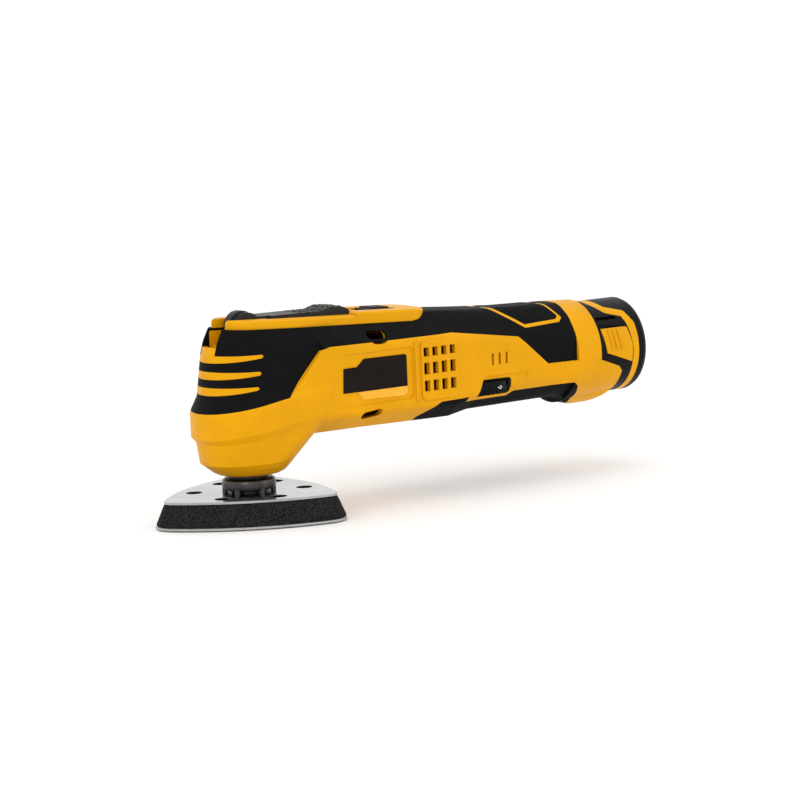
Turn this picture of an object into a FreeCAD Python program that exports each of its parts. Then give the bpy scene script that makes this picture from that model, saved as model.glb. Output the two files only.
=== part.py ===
import FreeCAD, Part

import Sketcher

import math
import os
import re

# Cordless oscillating multi-tool with a delta sanding pad.
# Frame: origin on the spindle axis at the pad's sanding face, +X towards the battery, +Z up.
# The left side of the tool, which carries the speed dial, is at -Y.

V = FreeCAD.Vector
doc = FreeCAD.newDocument("OscillatingTool")

DIMENSIONS = [
    # name, millimetres or degrees, what it is
    ("wall", 2.4, "thickness of the housing shells"),
    ("skin", 1.3, "thickness of the soft overmould"),
    ("seam", 0.10, "gap between the two housing shells"),
    ("top_height", 100.6, "height of the top line above the spindle's foot"),
    ("top_fall", 0.051, "fall of the top line per millimetre towards the battery"),
    ("cover_depth", 4.5, "thickness of the yellow top rail"),
    ("cover_end", 104.5, "rear end of the top rail"),
    ("cover_half", 16.5, "half width of the top rail"),
    ("cover_nose", 15.0, "radius of the top rail's front"),
    ("channel_half", 9.2, "half width of the lever channel"),
    ("channel_end", 60.4, "rear end of the lever channel"),
    ("hump_rise", 1.6, "rise of the rail behind the lever above the rail beside it"),
    ("bay_front", 64.0, "front end of the switch slider's bay"),
    ("bay_end", 89.2, "rear end of the switch slider's bay"),
    ("bay_half", 6.9, "half width of the switch slider's bay"),
    ("slot_half", 6.5, "half width of the slot the lever's cam turns in"),
    ("body_half", 26.0, "half width of the handle"),
    ("body_floor", 40.0, "underside of the handle"),
    ("grip_floor", 41.5, "underside of the rear grip"),
    ("pack_axis", 63.8, "height of the battery and collar axis"),
    ("collar_front", 190.8, "front edge of the collar"),
    ("collar_back", 206.4, "rear edge of the collar"),
    ("collar_radius", 27.3, "outer radius of the collar"),
    ("cradle_end", 222.4, "rear end of the cradle under the battery"),
    ("cell_axis", 66.3, "height of the three cells' common axis"),
    ("stem_radius", 21.2, "outer radius of the battery's stem"),
    ("stem_front", 154.0, "front end of the battery's stem"),
    ("pack_radius", 25.0, "outer radius of the battery's visible end"),
    ("pack_end", 239.0, "rear end of the battery"),
    ("ring_front", 232.8, "front of the battery's end ring"),
    ("cell_radius", 9.2, "radius of an 18650 cell"),
    ("cell_length", 65.0, "length of an 18650 cell"),
    ("drive_axis", 66.0, "height of the motor shaft"),
    ("motor_front", 32.0, "front face of the motor can"),
    ("motor_length", 56.0, "length of the motor can"),
    ("motor_radius", 18.5, "outer radius of the motor can"),
    ("can_wall", 1.5, "thickness of the motor can"),
    ("magnet_inner", 13.6, "bore of the motor magnets"),
    ("armature_radius", 12.9, "outer radius of the armature"),
    ("armature_length", 32.0, "length of the armature stack"),
    ("shaft_radius", 1.6, "radius of the motor shaft"),
    ("shaft_gap", 0.04, "radial running clearance of every shaft"),
    ("fan_radius", 15.0, "radius of the cooling fan"),
    ("fan_front", 91.0, "front of the cooling fan"),
    ("fan_width", 7.0, "width of the cooling fan"),
    ("throw", 0.70, "offset of the eccentric from the motor shaft"),
    ("eccentric_radius", 3.5, "radius of the eccentric pin"),
    ("race_radius", 8.0, "outer radius of the eccentric's bearing"),
    ("race_width", 5.0, "width of the eccentric's bearing"),
    ("race_front", 20.0, "front of the eccentric's bearing"),
    ("fork_gap", 9.6, "half gap between the fork's arms"),
    ("spindle_radius", 8.5, "radius of the spindle in its bearings"),
    ("spindle_bore", 4.2, "radius of the spindle's bore"),
    ("spindle_top", 84.0, "top of the spindle"),
    ("neck_radius", 10.0, "radius of the spindle's neck below the housing"),
    ("flange_radius", 13.7, "radius of the tool flange"),
    ("flange_low", 14.5, "underside of the tool flange"),
    ("flange_high", 20.5, "upper side of the tool flange"),
    ("pin_circle", 12.2, "radius of the circle of drive pins"),
    ("pin_radius", 1.35, "radius of a drive pin"),
    ("case_floor", 24.6, "bottom of the gear case"),
    ("case_radius", 17.5, "outer radius of the gear case"),
    ("case_top", 82.0, "top of the gear case"),
    ("bolt_radius", 3.0, "radius of the clamp bolt"),
    ("bolt_top", 88.6, "top of the clamp bolt"),
    ("foot_radius", 7.0, "radius of the clamp bolt's foot"),
    ("lever_axis", 96.4, "height of the lever's pivot"),
    ("lever_axis_x", 0.5, "position of the lever's pivot"),
    ("cam_radius", 7.6, "radius of the lever's cam disc"),
    ("lever_tail", 59.6, "rear end of the lever"),
    ("lever_half", 8.3, "half width of the lever's handle"),
    ("plate_top", 13.6, "top of the pad's steel plate"),
    ("plate_thick", 1.2, "thickness of the pad's steel plate"),
    ("hook_thick", 1.2, "thickness of the hook layer"),
    ("plate_side", 34.4, "centre to mid side of the steel plate"),
    ("plate_corner", 49.0, "centre to corner of the steel plate"),
    ("face_side", 39.6, "centre to mid side of the sanding face"),
    ("face_corner", 53.5, "centre to corner of the sanding face"),
    ("dust_circle", 27.8, "radius of the circle of dust holes"),
    ("dust_radius", 4.2, "radius of a dust hole"),
    ("dial_x", 137.0, "position of the speed dial's axis along the tool"),
    ("dial_y", 15.4, "offset of the speed dial's axis to the left"),
    ("dial_low", 49.6, "underside of the speed dial"),
    ("dial_width", 6.4, "width of the speed dial"),
    ("dial_radius", 12.0, "radius of the speed dial"),
    ("switch_front", 72.6, "front of the switch slider at rest"),
    ("switch_length", 15.6, "length of the switch slider"),
    ("switch_travel", 5.5, "travel of the switch slider"),
    ("label_depth", 0.6, "depth of the recess behind a name plate"),
    ("screw_radius", 1.5, "radius of a housing screw's shank"),
    ("boss_radius", 3.3, "radius of a screw boss"),
]

sheet = doc.addObject("Spreadsheet::Sheet", "Dims")
for row, (alias, value, note) in enumerate(DIMENSIONS, start=1):
    sheet.set("A%d" % row, alias)
    sheet.set("B%d" % row, str(value))
    sheet.set("C%d" % row, note)
    sheet.setAlias("B%d" % row, alias)
doc.recompute()

NAMES = {alias for alias, _, _ in DIMENSIONS}
PARTS = []


def dim(alias):
    """A driving dimension as a number."""
    return float(sheet.get(alias))


def bound(text):
    """An expression in which every dimension's name points at its cell."""
    return re.sub(r"[a-z_]+", lambda m: "Dims." + m.group(0) if m.group(0) in NAMES else m.group(0),
                  str(text))


# ---------------------------------------------------------------- parametric helpers

TURN = {"z": FreeCAD.Rotation(), "x": FreeCAD.Rotation(V(0, 1, 0), 90), "y": FreeCAD.Rotation(V(1, 0, 0), -90)}


def place(item, at, rotation=None):
    """Bind an object's position to expressions, and turn it."""
    if rotation is not None:
        item.Placement = FreeCAD.Placement(V(), rotation)
    for axis, text in zip("xyz", at):
        item.setExpression(".Placement.Base." + axis, bound(text))
    return item


def keep(item, label):
    """Register an object as one of the tool's sub-parts."""
    item.Label = label
    PARTS.append(item)
    return item


def tool_name(stem):
    """A document name that no other helper object has."""
    return "%s_%d" % (stem, len(doc.Objects))


def cylinder(radius, length, at, axis="z"):
    item = doc.addObject("Part::Cylinder", tool_name("cylinder"))
    item.setExpression("Radius", bound(radius))
    item.setExpression("Height", bound(length))
    return place(item, at, TURN[axis])


def box(size, at):
    item = doc.addObject("Part::Box", tool_name("box"))
    for prop, text in zip(("Length", "Width", "Height"), size):
        item.setExpression(prop, bound(text))
    return place(item, at)


def fuse(*items):
    item = doc.addObject("Part::MultiFuse", tool_name("fuse"))
    item.Shapes = list(items)
    return item


def cut(base, *tools):
    item = doc.addObject("Part::Cut", tool_name("cut"))
    item.Base = base
    item.Tool = tools[0] if len(tools) == 1 else fuse(*tools)
    return item


def ring(outer, inner, length, at, axis="z"):
    """A round ring: one cylinder less another on the same axis."""
    return cut(cylinder(outer, length, at, axis), cylinder(inner, length, at, axis))


def turned(label, points, at=(0, 0, 0), axis="z"):
    """A Body revolved about its own Z axis from (radius, height) expressions."""
    body = doc.addObject("PartDesign::Body", label + "_body")
    sketch = body.newObject("Sketcher::SketchObject", label + "_profile")
    plane = [f for f in body.Origin.OriginFeatures if f.Role == "XZ_Plane"][0]
    sketch.AttachmentSupport = (plane, [""])
    sketch.MapMode = "FlatFace"
    values = []
    for radius, height in points:
        values.append((sheet_value(radius), sheet_value(height)))
    for k, start in enumerate(values):
        end = values[(k + 1) % len(values)]
        sketch.addGeometry(Part.LineSegment(V(start[0], start[1], 0), V(end[0], end[1], 0)), False)
    for k in range(len(values)):
        sketch.addConstraint(Sketcher.Constraint("Coincident", k, 2, (k + 1) % len(values), 1))
    for k, (radius, height) in enumerate(points):
        for kind, text, value in (("DistanceX", radius, values[k][0]), ("DistanceY", height, values[k][1])):
            index = sketch.addConstraint(Sketcher.Constraint(kind, -1, 1, k, 1, value))
            sketch.setExpression("Constraints[%d]" % index, bound(text))
    revolution = body.newObject("PartDesign::Revolution", label + "_turn")
    revolution.Profile = sketch
    revolution.ReferenceAxis = (sketch, ["V_Axis"])
    revolution.Angle = 360
    body.Tip = revolution
    return place(body, at, TURN[axis])


def sheet_value(text):
    """The number an expression of dimensions stands for at the sheet's present values."""
    total = 0.0
    for sign, term in re.findall(r"([+-]?)\s*([a-z_0-9.*/]+)", str(text)):
        value = 1.0
        for op, factor in re.findall(r"([*/]?)([a-z_0-9.]+)", term):
            number = dim(factor) if factor in NAMES else float(factor)
            value = value / number if op == "/" else value * number
        total += -value if sign == "-" else value
    return total


# ---------------------------------------------------------------- outline of the housing

def polygon_face(points):
    """A flat face in the XZ plane from (x, z) corners."""
    corners = [V(x, 0, z) for x, z in points]
    return Part.Face(Part.makePolygon(corners + corners[:1]))


def side_prism(points, y_low=-60.0, y_high=60.0):
    """An outline in the side view, extruded across the tool."""
    face = polygon_face(points)
    face.translate(V(0, y_low, 0))
    return face.extrude(V(0, y_high - y_low, 0))


def top_line(x):
    return dim("top_height") - dim("top_fall") * x


def rounded_wire(points, radius):
    """A closed wire through the corners given, each corner rounded with an arc."""
    edges = []
    ends = []
    count = len(points)
    for k, corner in enumerate(points):
        before = (points[k - 1] - corner)
        after = (points[(k + 1) % count] - corner)
        half = before.getAngle(after) / 2
        reach = min(radius / math.tan(half), 0.45 * before.Length, 0.45 * after.Length)
        start = corner + before.normalize() * reach
        end = corner + after.normalize() * reach
        bulge = reach * math.tan(half) * (1 / math.sin(half) - 1)
        inward = (before + after).normalize()
        ends.append((start, corner + inward * bulge, end))
    for k, (start, middle, end) in enumerate(ends):
        edges.append(Part.Arc(start, middle, end).toShape())
        edges.append(Part.LineSegment(end, ends[(k + 1) % count][0]).toShape())
    return Part.Wire(edges)


# handle stations: position along the tool, half width, underside, and how round the section is
HANDLE = [
    (9.0, 24.6, 40.0, 0.0),
    (60.0, 26.0, 40.0, 0.0),
    (104.0, 26.0, 39.4, 0.0),
    (114.0, 25.9, 39.2, 0.05),
    (126.0, 25.6, 41.5, 0.15),
    (158.0, 25.7, 41.6, 0.6),
    (191.5, 26.4, 41.0, 1.0),
]


def handle_section(x, half, floor, roundness, inset):
    """Half outline of the handle, blended from a flat-sided section to a round one."""
    roof = top_line(x)
    flat = [(13.0, roof), (17.0, roof - 4.5), (half, roof - 13.5), (half, floor + 8.5), (15.0, floor)]
    middle = dim("pack_axis") + 2.0
    round_part = [(9.6, 24.8), (19.0, 18.4), (25.6, 8.0), (25.2, -11.0), (14.4, -24.4)]
    outline = []
    for (y, z), (ry, rz) in zip(flat, round_part):
        y, z = y + (ry - y) * roundness, z + (middle + rz - z) * roundness
        centre = (roof + floor) / 2
        z = centre + (z - centre) * (1 - 2 * inset / (roof - floor))
        outline.append((y * (1 - inset / half), z))
    return outline


def handle_solid(inset):
    wires = []
    for x, half, floor, roundness in HANDLE:
        x += inset if x < 50 else 0.0
        outline = handle_section(x, half, floor, roundness, inset)
        corners = [V(x, y, z) for y, z in outline] + [V(x, -y, z) for y, z in reversed(outline)]
        wires.append(rounded_wire(corners, 5.0 + 8.0 * roundness))
    return Part.makeLoft(wires, True, True)


# head stations, from the bottom up: height at the spindle's axis, rearward rise in degrees,
# centre and radius of the round front, half width and end at the rear, rear corner radius
HEAD = [
    (22.8, 0.0, 0.0, 15.6, 15.7, 16.4, 15.0),
    (24.0, 0.0, 0.0, 18.0, 18.1, 18.9, 17.4),
    (26.6, 0.0, -0.6, 20.8, 20.9, 21.2, 20.0),
    (29.5, 1.5, -1.4, 23.0, 23.1, 24.0, 21.5),
    (42.6, 6.5, -2.0, 24.1, 24.6, 38.0, 15.0),
    (46.4, 8.5, -2.6, 26.0, 26.0, 42.0, 12.0),
    (58.6, 9.0, -2.8, 25.8, 25.8, 45.0, 9.0),
    (60.0, 9.0, -2.8, 25.2, 25.4, 46.0, 9.0),
    (66.2, 9.0, -2.8, 21.9, 24.4, 47.0, 9.0),
    (85.4, 3.0, -2.8, 18.8, 24.0, 48.0, 9.0),
    (90.5, 0.0, -2.0, 17.9, 21.4, 48.0, 9.0),
    (101.2, -2.9, 0.0, 14.6, 15.0, 48.0, 6.0),
]


def head_wire(height, rise, centre, radius, half, rear, corner, inset):
    """One level of the head: a round front, flaring sides and rounded rear corners."""
    radius, half, rear, corner = radius - inset, half - inset, rear - inset, max(corner - inset, 1.5)
    front = V(centre - radius, 0, 0)
    sides = [V(centre, radius, 0), V(centre, -radius, 0)]
    elbows = [V(rear - corner, half, 0), V(rear - corner, -half, 0)]
    tips = [V(rear, half - corner, 0), V(rear, corner - half, 0)]
    swing = corner * math.sin(math.pi / 4)
    bends = [V(rear - corner + swing, side * (half - corner + swing), 0) for side in (1, -1)]
    quarter = radius * math.sin(math.pi / 4)
    edges = [
        Part.Arc(sides[0], V(centre - quarter, quarter, 0), front).toShape(),
        Part.Arc(front, V(centre - quarter, -quarter, 0), sides[1]).toShape(),
        Part.LineSegment(sides[1], elbows[1]).toShape(),
        Part.Arc(elbows[1], bends[1], tips[1]).toShape(),
        Part.LineSegment(tips[1], tips[0]).toShape(),
        Part.Arc(tips[0], bends[0], elbows[0]).toShape(),
        Part.LineSegment(elbows[0], sides[0]).toShape(),
    ]
    wire = Part.Wire(edges)
    wire.rotate(V(), V(0, 1, 0), -rise)
    wire.translate(V(0, 0, height))
    return wire


def head_solid(inset):
    wires = []
    for k, (height, rise, *plan) in enumerate(HEAD):
        height += inset if k == 0 else (-inset if k == len(HEAD) - 1 else 0.0)
        wires.append(head_wire(height, rise, *plan, inset))
    return Part.makeLoft(wires, True, True)


def ramp_front(inset):
    """The sloping front end of the handle's side panels, cut away from the handle."""
    return side_prism([(-20, 20), (24.0 + inset, 20), (11.5 + inset, 61.0), (31.5 + inset, 83.6),
                       (31.5 + inset, 120), (-20, 120)])


RAIL_CORNER = 11.0      # radius of the top rail's rear corners


def roof_prism(inset):
    """What lies above the top rail's seat, with its rear corners rounded like the rail's."""
    drop = dim("cover_depth") + inset
    end, half = dim("cover_end") + 0.1 - inset, dim("cover_half") + 0.1 - inset
    prism = side_prism([(-60, top_line(-60) - drop), (end, top_line(end) - drop), (end, 130), (-60, 130)])
    middle = V(end - RAIL_CORNER, half - RAIL_CORNER, 0)
    corner = Part.makeBox(40, 60, 140, middle).cut(Part.makeCylinder(RAIL_CORNER, 140, middle))
    return prism.cut(corner).cut(corner.mirror(V(), V(0, 1, 0)))


FOOT_RADIUS = 16.0      # how round the foot under the collar is across the tool


def belly_solid(inset):
    """The rounded foot under the collar, on which the tool's rear end rests."""
    arc = Part.Arc(V(186.0, 0, 43.0 + inset), V(202.5, 0, 34.6 + inset), V(221.0 - inset, 0, 40.5)).toShape()
    close = Part.makePolygon([V(221.0 - inset, 0, 40.5), V(221.0 - inset, 0, 56), V(186.0, 0, 56),
                              V(186.0, 0, 43.0 + inset)])
    face = Part.Face(Part.Wire([arc] + close.Edges))
    face.translate(V(0, -17 + inset, 0))
    slab = face.extrude(V(0, 34 - 2 * inset, 0))
    keel = Part.makeCylinder(FOOT_RADIUS - inset, 60, V(170, 0, 34.6 + FOOT_RADIUS), V(1, 0, 0))
    return slab.common(keel)


def outer_solid(inset):
    """The closed shape of head and handle without the collar, shrunk all round by inset."""
    handle = handle_solid(inset).cut(ramp_front(inset))
    return handle.fuse(head_solid(inset)).cut(roof_prism(inset))


def largest(shape):
    """The biggest solid of a result, without stray slivers."""
    return max(shape.Solids, key=lambda s: s.Volume)


def feature(label, shape):
    """A sub-part whose shape is worked out in code from the sheet's sizes."""
    item = doc.addObject("Part::Feature", label)
    item.Shape = shape
    return keep(item, label)


# ---------------------------------------------------------------- colour regions and openings

def black_upper():
    """The overmould over the head, the shoulders and the rear grip, seen from the side."""
    front = dim("collar_front")
    region = side_prism([(-45, 52.8), (11, 61.5), (31, 83.2), (36, 84.4), (103, 83.8), (112, 83.9),
                         (153.5, 77.6), (171.6, 61.6), (front, 61.4), (front, 120), (-45, 120)])
    return region.cut(finger_stripes()).cut(grip_outline())


def finger_stripes():
    """Three tapering bands round the head: bottom and top at the front, then at the tip."""
    bands = [(80.4, 84.3, 82.2, 84.0, -0.6), (72.3, 76.3, 73.9, 75.8, -2.8), (64.4, 68.4, 66.7, 68.4, -5.0)]
    stripes = [side_prism([(-45, low), (-24, low), (tip, tip_low), (tip + 0.8, (tip_low + tip_high) / 2),
                           (tip, tip_high), (-24, high), (-45, high)])
               for low, high, tip_low, tip_high, tip in bands]
    return stripes[0].fuse(stripes[1:])


def grip_outline():
    """The thin line round each of the two textured patches on the rear grip."""
    outer_edge = [(142.5, 96.0), (144.3, 92.2), (160.6, 81.2), (183.4, 82.0), (186.0, 84.0), (182.0, 91.5),
                  (181.6, 96.0)]
    inner_edge = [(144.6, 96.0), (146.4, 92.6), (161.0, 82.9), (182.0, 83.6), (184.0, 85.2), (180.2, 92.0),
                  (179.8, 96.0)]
    left = side_prism(outer_edge, -60, -3.0).cut(side_prism(inner_edge, -60, -2.0))
    return left.fuse(left.mirror(V(), V(0, 1, 0)))


def black_under():
    """The rubber under the grip."""
    return side_prism([(86, 20), (91, 41.8), (102.5, 49.2), (120.4, 49.5), (119.8, 47.0), (147.0, 47.0),
                       (150.4, 49.3), (190.4, 49.2), (193.6, 47.0), (195.8, 42.0), (195.8, 20)])


VENT_COLUMNS = [93.6 + 5.45 * k for k in range(4)]
VENT_ROWS = [(73.6, 78.2), (64.4, 70.4), (55.6, 61.2)]


def vents():
    """Grid of cooling slots on both sides."""
    holes = [Part.makeBox(3.4, 120, high - low, V(x - 1.7, -60, low))
             for x in VENT_COLUMNS for low, high in VENT_ROWS]
    return holes[0].fuse(holes[1:])


def vent_frame():
    """The raised pad that carries the grid, and the upright rib in front of it."""
    pad = side_prism([(90.4, 53.2), (92.0, 51.0), (111.4, 51.0), (113.0, 53.2), (113.0, 80.2), (111.4, 82.0),
                      (92.0, 82.0), (90.4, 80.2)])
    rib = side_prism([(86.6, 51.6), (88.4, 51.0), (88.4, 82.2), (86.6, 81.6)])
    return pad.fuse(rib)


def gauge_slots():
    """Three short upright slots behind the grid."""
    holes = [Part.makeBox(1.3, 120, 6.0, V(x, -60, 64.6)) for x in (135.4, 139.8, 144.2)]
    return holes[0].fuse(holes[1:])


# oval slots: middle, half height and tilt in degrees
OVAL_SLOTS = [(66.2, 87.2, 2.0, 3.0), (60.2, 47.6, 1.9, -7.0)]


def oval_slot(x, z, half, tilt):
    """A round-ended slot 12 mm long through both sides."""
    reach = 6.0 - half
    ends = [Part.makeCylinder(half, 120, V(dx, -60, 0), V(0, 1, 0)) for dx in (-reach, reach)]
    middle = Part.makeBox(2 * reach, 120, 2 * half, V(-reach, -60, -half))
    slot = middle.fuse(ends)
    slot.rotate(V(), V(0, 1, 0), tilt)
    slot.translate(V(x, 0, z))
    return slot


def label_recess(depth):
    """The shallow panel on each side that carries the name plate."""
    floor = dim("body_half") - depth
    return side_prism(LABEL_PANEL, floor, 60), side_prism(LABEL_PANEL, -60, -floor)


LABEL_PANEL = [(38.0, 54.0), (38.0, 77.6), (40.0, 79.2), (84.0, 79.8), (85.6, 78.2), (85.6, 54.6), (84.0, 53.0),
               (39.6, 52.6)]
LABEL_PLATE = [(42.7, 60.0), (43.4, 72.5), (51.4, 72.6), (55.9, 76.4), (81.0, 76.2), (81.8, 75.4), (81.8, 56.8),
               (80.2, 55.2), (54.7, 55.7), (51.1, 59.9)]


def cam_slot(grow):
    """The slot in the front of the head in which the lever's cam turns."""
    half = dim("slot_half") + grow
    return side_prism([(-60, 88.0 - grow), (-9, 88.0 - grow), (-7, 86.2 - grow), (9.6 + grow, 86.2 - grow),
                       (9.6 + grow, 120), (-60, 120)], -half, half)


def front_lip():
    """The thick edge of the overmould on both sides of the slot in the head's front."""
    return Part.makeBox(45, 26, 12, V(-60, -13, 86.0))


def front_notch():
    """The wider window in the overmould at the front of the slot."""
    half = dim("slot_half")
    return Part.makeBox(60, 2 * half, 60, V(-66, -half, 83.6))


def collar(inset):
    """The ring round the battery's mouth with its cradle below."""
    front, back, axis = dim("collar_front"), dim("collar_back"), dim("pack_axis")
    radius = dim("collar_radius") - inset
    ring_part = Part.makeCone(radius, radius - 0.8, back - front, V(front, 0, axis), V(1, 0, 0))
    cradle_front = back - 2
    cradle = Part.makeCone(radius - 0.7, radius - 1.6, dim("cradle_end") - cradle_front,
                           V(cradle_front, 0, axis), V(1, 0, 0))
    tongue = side_prism([(cradle_front, 30), (cradle_front, 60.2), (back + 1.2, 59.4), (219.6, 55.0),
                         (222.3, 52.0), (222.3, 42.0), (218.0, 30)])
    blend_front = front - 21
    blend = Part.makeCone(radius - 1.9, radius, front - blend_front, V(blend_front, 0, axis), V(1, 0, 0))
    flank = side_prism([(blend_front, 49.3), (blend_front, 61.4), (front + 1, 61.4), (front + 1, 49.3)])
    return ring_part.fuse([cradle.common(tongue), blend.common(flank), belly_solid(inset)])


SCREWS = [(27.5, 42.4), (24.5, 88.0), (94.0, 46.6), (118.0, 47.6), (128.0, 87.2)]


def bosses():
    posts = [Part.makeCylinder(dim("boss_radius"), 120, V(x, -60, z), V(0, 1, 0)) for x, z in SCREWS]
    return posts[0].fuse(posts[1:])


SCREW_SEAT = 15.0       # screw heads sit this far from the middle plane, on the right
SCREW_TIP = 9.0         # and their points this far into the left shell


def screw_holes():
    """Pilot holes on the left, clearance and counterbores on the right."""
    shank = dim("screw_radius")
    cuts = []
    for x, z in SCREWS:
        cuts.append(Part.makeCylinder(shank + 0.02, 60, V(x, -SCREW_TIP - 0.5, z), V(0, 1, 0)))
        cuts.append(Part.makeCylinder(3.0, 60, V(x, SCREW_SEAT, z), V(0, 1, 0)))
    return cuts[0].fuse(cuts[1:])


DIAL_WINDOW = [(126.2, 48.7), (129.4, 57.4), (146.4, 57.2), (147.4, 56.2), (147.4, 49.6), (146.4, 48.6)]


def dial_room(gap):
    """The space the speed dial turns in."""
    return Part.makeCylinder(dim("dial_radius") + gap, dim("dial_width") + 2 * gap,
                             V(dim("dial_x"), -dim("dial_y"), dim("dial_low") - gap))


def dial_window():
    """The opening for the speed dial and the sloping recess behind it, on the left side only."""
    opening = side_prism(DIAL_WINDOW, -45, -15)
    ramp = side_prism([(147.6, 49.2), (150.6, 49.2), (159.0, 58.6), (131.0, 59.0), (129.4, 57.4)], -60, -25.2)
    return opening.fuse([ramp, dial_room(0.4)])


# ---------------------------------------------------------------- housing shells

def housing_parts():
    """Both yellow shells and both overmoulds."""
    skin, wall = dim("skin"), dim("wall")
    axis = dim("pack_axis")
    outer = outer_solid(0.0).fuse(vent_frame().common(handle_solid(-0.7)))
    core = outer_solid(skin)
    hollow = outer_solid(wall)
    under_skin = core.cut(front_lip())
    black_tool = black_upper().fuse(black_under()).cut(under_skin).cut(front_notch())
    neck_hole = Part.makeCylinder(dim("neck_radius") + 1.0, 12, V(0, 0, 18), V(0, 0, 1))
    collar_body = collar(0.0)
    mouth = Part.makeCylinder(dim("pack_radius") + 0.25, 60, V(dim("collar_back") - 3.0, 0, axis), V(1, 0, 0))
    stem_room = Part.makeCylinder(dim("stem_radius") + 0.5, 60, V(dim("stem_front") - 1, 0, dim("cell_axis")),
                                  V(1, 0, 0))
    full = outer.fuse(collar_body)
    slot_block = cam_slot(2.0).common(under_skin)
    yellow = full.cut(black_tool).cut(hollow)
    yellow = yellow.fuse(slot_block).fuse(bosses().common(core))
    bolt_way = Part.makeCylinder(dim("bolt_radius") + 0.6, 20, V(0, 0, 80), V(0, 0, 1))
    plates = label_recess(dim("label_depth"))
    slots = [oval_slot(*slot) for slot in OVAL_SLOTS]
    wide_slot = oval_slot(OVAL_SLOTS[0][0], OVAL_SLOTS[0][1], OVAL_SLOTS[0][2] + 2.4, OVAL_SLOTS[0][3])
    removed = [neck_hole, mouth, stem_room, cam_slot(0.0), bolt_way, vents(), gauge_slots(), dial_window(),
               screw_holes(), motor_room(), pivot_groove(), stem_slot(), wide_slot] + slots + list(plates)
    for tool in removed:
        yellow = yellow.cut(tool)
    black = full.common(black_tool)
    for tool in [screw_holes(), bolt_way, pivot_groove(), stem_slot(), cam_slot(0.0), stem_room] + slots:
        black = black.cut(tool)
    half = dim("seam") / 2
    left_side = Part.makeBox(400, 60, 200, V(-80, -60 - half, -20))
    right_side = Part.makeBox(400, 60, 200, V(-80, half, -20))
    feature("housing_left", largest(yellow.common(left_side)))
    feature("housing_right", largest(yellow.common(right_side)))
    feature("overmould_left", solids_over(black.common(left_side), 40.0))
    feature("overmould_right", solids_over(black.common(right_side), 40.0))


STEM_INSET = 6.0        # from the slider's front to its stem
STEM_SIDE = 4.0         # width of the square stem


def pivot_groove():
    """Seat of the lever's pivot pin."""
    return Part.makeCylinder(1.53, 24.4, V(dim("lever_axis_x"), -12.2, dim("lever_axis")), V(0, 1, 0))


def stem_slot():
    """Slot through the deck for the switch slider's stem."""
    front = dim("switch_front") + STEM_INSET - dim("switch_travel")
    return Part.makeBox(STEM_SIDE + 1.0 + dim("switch_travel"), STEM_SIDE + 0.8, 20,
                        V(front - 0.5, -STEM_SIDE / 2 - 0.4, 82))


def motor_room():
    """Clearance round the motor, its fan and the gear case inside the shells."""
    can_room = dim("motor_front") + dim("motor_length") + 1.0 - 28
    motor = Part.makeCylinder(dim("motor_radius") + 0.4, can_room, V(28, 0, dim("drive_axis")), V(1, 0, 0))
    fan = Part.makeCylinder(dim("fan_radius") + 0.8, 14, V(88, 0, dim("drive_axis")), V(1, 0, 0))
    case = Part.makeCylinder(dim("case_radius") + 0.4, dim("case_top") - 24.0, V(0, 0, 24.3), V(0, 0, 1))
    return motor.fuse([fan, case])


def solids_over(shape, least):
    """The solids of a result that are larger than a sliver, as one shape."""
    solids = [s for s in shape.Solids if s.Volume > least]
    return solids[0] if len(solids) == 1 else Part.makeCompound(solids)


def top_rail():
    """The yellow rail round the top, with the lever channel and the cam slot through it."""
    nose, half, end = dim("cover_nose"), dim("cover_half"), dim("cover_end")
    corner = RAIL_CORNER
    swing = corner * math.sin(math.pi / 4)
    edges = [
        Part.Arc(V(0, -nose, 0), V(-nose, 0, 0), V(0, nose, 0)).toShape(),
        Part.LineSegment(V(0, nose, 0), V(20, half, 0)).toShape(),
        Part.LineSegment(V(20, half, 0), V(end - corner, half, 0)).toShape(),
        Part.Arc(V(end - corner, half, 0), V(end - corner + swing, half - corner + swing, 0),
                 V(end, half - corner, 0)).toShape(),
        Part.LineSegment(V(end, half - corner, 0), V(end, corner - half, 0)).toShape(),
        Part.Arc(V(end, corner - half, 0), V(end - corner + swing, corner - half - swing, 0),
                 V(end - corner, -half, 0)).toShape(),
        Part.LineSegment(V(end - corner, -half, 0), V(20, -half, 0)).toShape(),
        Part.LineSegment(V(20, -half, 0), V(0, -nose, 0)).toShape(),
    ]
    depth, wide, narrow = dim("cover_depth"), dim("channel_half"), dim("slot_half")
    plan = Part.Face(Part.Wire(edges))
    slab = chamfered(plan, depth)
    hump = chamfered(plan.common(Part.makeBox(80, 60, 2, V(dim("channel_end") - 2.0, -30, -1))),
                     depth + dim("hump_rise"))
    slab = slab.fuse(hump)
    lever_way = Part.makeBox(dim("channel_end") - 10.0, 2 * wide, 20, V(10.0, -wide, -5))
    cam_way = Part.makeBox(60, 2 * narrow, 20, V(-49, -narrow, -5))
    bay = Part.makeBox(dim("bay_end") - dim("bay_front"), 2 * dim("bay_half"), 20,
                       V(dim("bay_front"), -dim("bay_half"), -5))
    deck_way = Part.makeBox(8.0, 2 * dim("bay_half"), 1.6 + 5,
                            V(dim("channel_end") - 2.0, -dim("bay_half"), -5))
    for tool in (lever_way, cam_way, bay, deck_way):
        slab = slab.cut(tool)
    slab.rotate(V(), V(0, 1, 0), math.degrees(math.atan(dim("top_fall"))))
    slab.translate(V(0, 0, dim("top_height") - depth + 0.02))
    feature("top_rail", slab.cut(pivot_groove()))


def chamfered(plan, height):
    """A flat plate from its plan, with the edge of its upper face chamfered."""
    plate = plan.extrude(V(0, 0, height))
    rim = [e for e in plate.Edges if all(abs(v.Z - height) < 0.01 for v in e.Vertexes)]
    return plate.makeChamfer(1.0, rim)


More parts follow.
